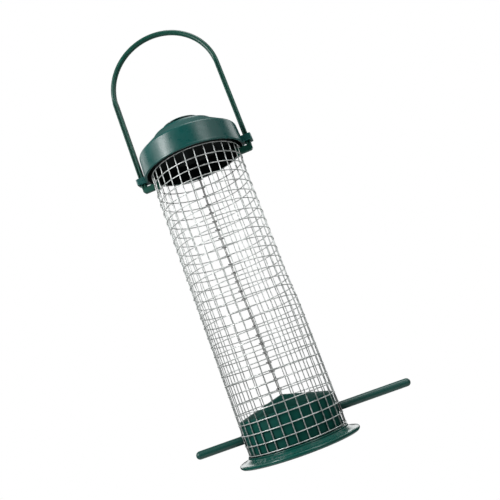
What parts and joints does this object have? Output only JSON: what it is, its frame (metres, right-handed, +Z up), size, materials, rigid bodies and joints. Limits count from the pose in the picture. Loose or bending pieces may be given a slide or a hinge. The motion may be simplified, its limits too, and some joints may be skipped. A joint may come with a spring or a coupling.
{
  "type": "hanging bird feeder",
  "caption": "Hanging peanut feeder: welded mesh tube on a flanged base with a conical floor, through perch, bail handle and a lid that slides up the bail.",
  "frame": {"origin": "the point under the bail's arch, on the tube's axis, where a hook or branch carries the feeder", "axes": "+Z up along the tube's axis, X along the perch and through the bail's two legs, the mesh seam is at the back, towards +Y"},
  "size_m": [0.1378, 0.0758, 0.2947],
  "materials": {
    "moulded_green": "satin to gloss injection moulding",
    "rod_green": "satin extruded rod",
    "galvanised_wire": "hot-dip galvanised, slightly dull"
  },
  "bodies": {
    "feeder": {"bail": "moulded_green", "base": "moulded_green", "perch": "rod_green", "upright_wires": "galvanised_wire", "seam_wires": "galvanised_wire", "ring_wire_1": "galvanised_wire", "ring_wire_2": "galvanised_wire", "ring_wire_3": "galvanised_wire", "ring_wire_4": "galvanised_wire", "ring_wire_5": "galvanised_wire", "ring_wire_6": "galvanised_wire", "ring_wire_7": "galvanised_wire", "ring_wire_8": "galvanised_wire", "ring_wire_9": "galvanised_wire", "ring_wire_10": "galvanised_wire", "ring_wire_11": "galvanised_wire", "ring_wire_12": "galvanised_wire", "ring_wire_13": "galvanised_wire", "ring_wire_14": "galvanised_wire", "ring_wire_15": "galvanised_wire", "ring_wire_16": "galvanised_wire", "ring_wire_17": "galvanised_wire", "ring_wire_18": "galvanised_wire", "ring_wire_19": "galvanised_wire", "ring_wire_20": "galvanised_wire", "ring_wire_21": "galvanised_wire", "ring_wire_22": "galvanised_wire", "ring_wire_23": "galvanised_wire", "ring_wire_24": "galvanised_wire", "ring_wire_25": "galvanised_wire", "ring_wire_26": "galvanised_wire", "ring_wire_27": "galvanised_wire", "ring_wire_28": "galvanised_wire", "ring_wire_29": "galvanised_wire", "ring_wire_30": "galvanised_wire"},
    "lid": {"lid": "moulded_green"}
  },
  "joints": [
    {"name": "lid_slide", "type": "slide", "parent": "feeder", "child": "lid", "axis": [0, 0, 1], "range_m": [0, 0.05]}
  ]
}
